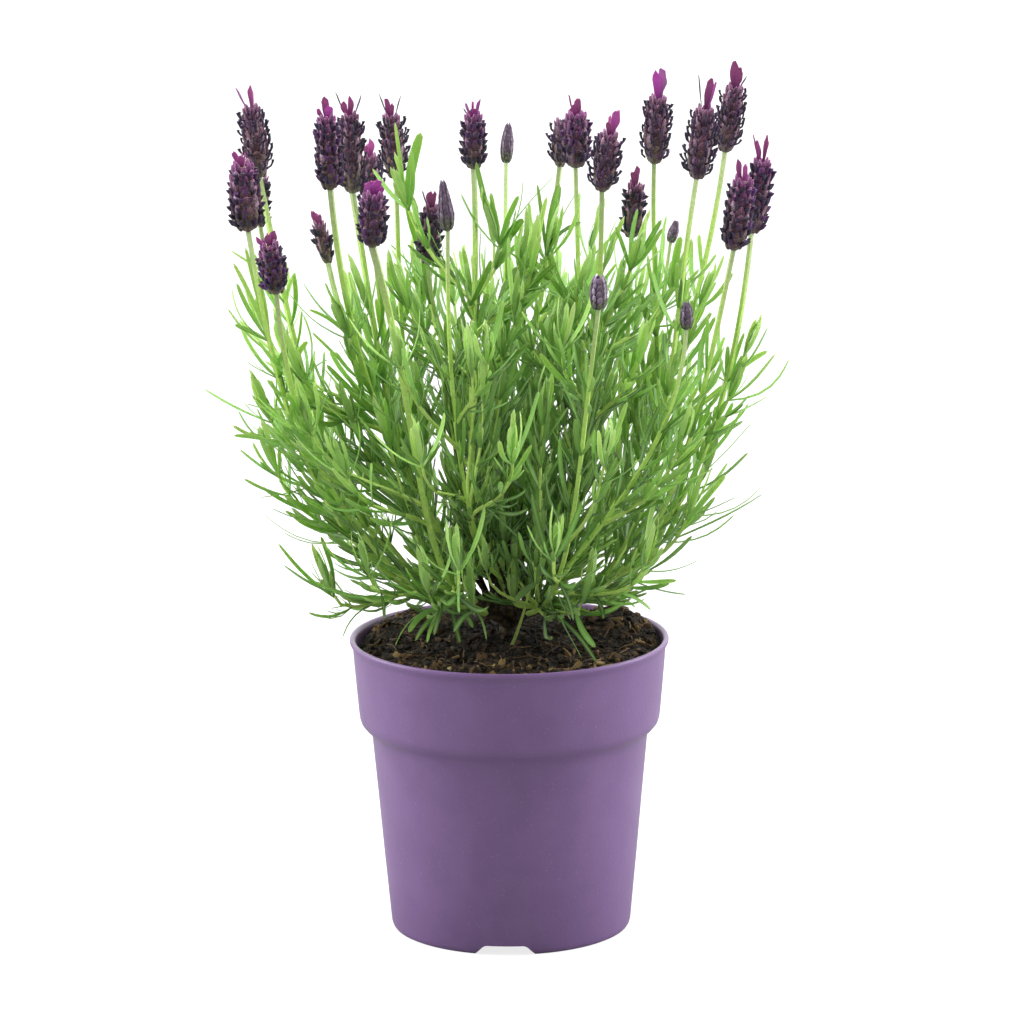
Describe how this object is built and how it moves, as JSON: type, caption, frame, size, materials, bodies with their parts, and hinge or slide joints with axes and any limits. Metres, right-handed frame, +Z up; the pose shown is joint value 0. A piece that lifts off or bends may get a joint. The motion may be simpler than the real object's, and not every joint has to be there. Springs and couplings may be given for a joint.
{
  "type": "potted lavender plant",
  "caption": "Bushy flowering lavender with narrow leaves, bare stalks and tufted flower heads, rooted in soil in a round tapered pot with a deep collar.",
  "frame": {"origin": "centre of the whole plant's footprint, on the surface that the pot stands on; the pot's axis is within 2 mm of it", "axes": "+Z up along the pot's axis, -Y towards the front of the picture, +X to its right"},
  "size_m": [0.2217, 0.2063, 0.355],
  "materials": {
    "pot": "satin moulded, soft highlights",
    "soil": "loose, crumbly and matte",
    "crown": "rough bark",
    "foliage": "matte, downy",
    "flower": "matte, downy",
    "bud": "matte, downy",
    "bract": "thin and satin"
  },
  "bodies": {
    "root": {"pot": "pot", "soil": "soil", "crown": "crown", "branch_01": "foliage", "branch_02": "foliage", "branch_03": "foliage", "branch_04": "foliage", "branch_05": "foliage", "branch_06": "foliage", "branch_07": "foliage", "branch_08": "foliage", "branch_09": "foliage", "branch_10": "foliage", "branch_11": "foliage", "branch_12": "foliage", "spike_01": "flower", "spike_02": "flower", "spike_03": "bud", "spike_04": "flower", "spike_05": "flower", "spike_06": "flower", "spike_07": "flower", "spike_08": "flower", "spike_09": "flower", "spike_10": "flower", "spike_11": "flower", "spike_12": "bud", "spike_13": "flower", "spike_14": "bud", "spike_15": "flower", "spike_16": "bud", "spike_17": "flower", "spike_18": "flower", "spike_19": "flower", "spike_20": "flower", "spike_21": "flower", "spike_22": "flower", "spike_23": "flower", "spike_24": "bud", "spike_25": "bud", "spike_26": "bud", "tuft_01": "bract", "tuft_02": "bract", "tuft_04": "bract", "tuft_05": "bract", "tuft_06": "bract", "tuft_07": "bract", "tuft_08": "bract", "tuft_09": "bract", "tuft_10": "bract", "tuft_11": "bract", "tuft_13": "bract", "tuft_15": "bract", "tuft_17": "bract", "tuft_18": "bract", "tuft_19": "bract", "tuft_20": "bract", "tuft_21": "bract", "tuft_22": "bract", "tuft_23": "bract"}
  },
  "joints": []
}
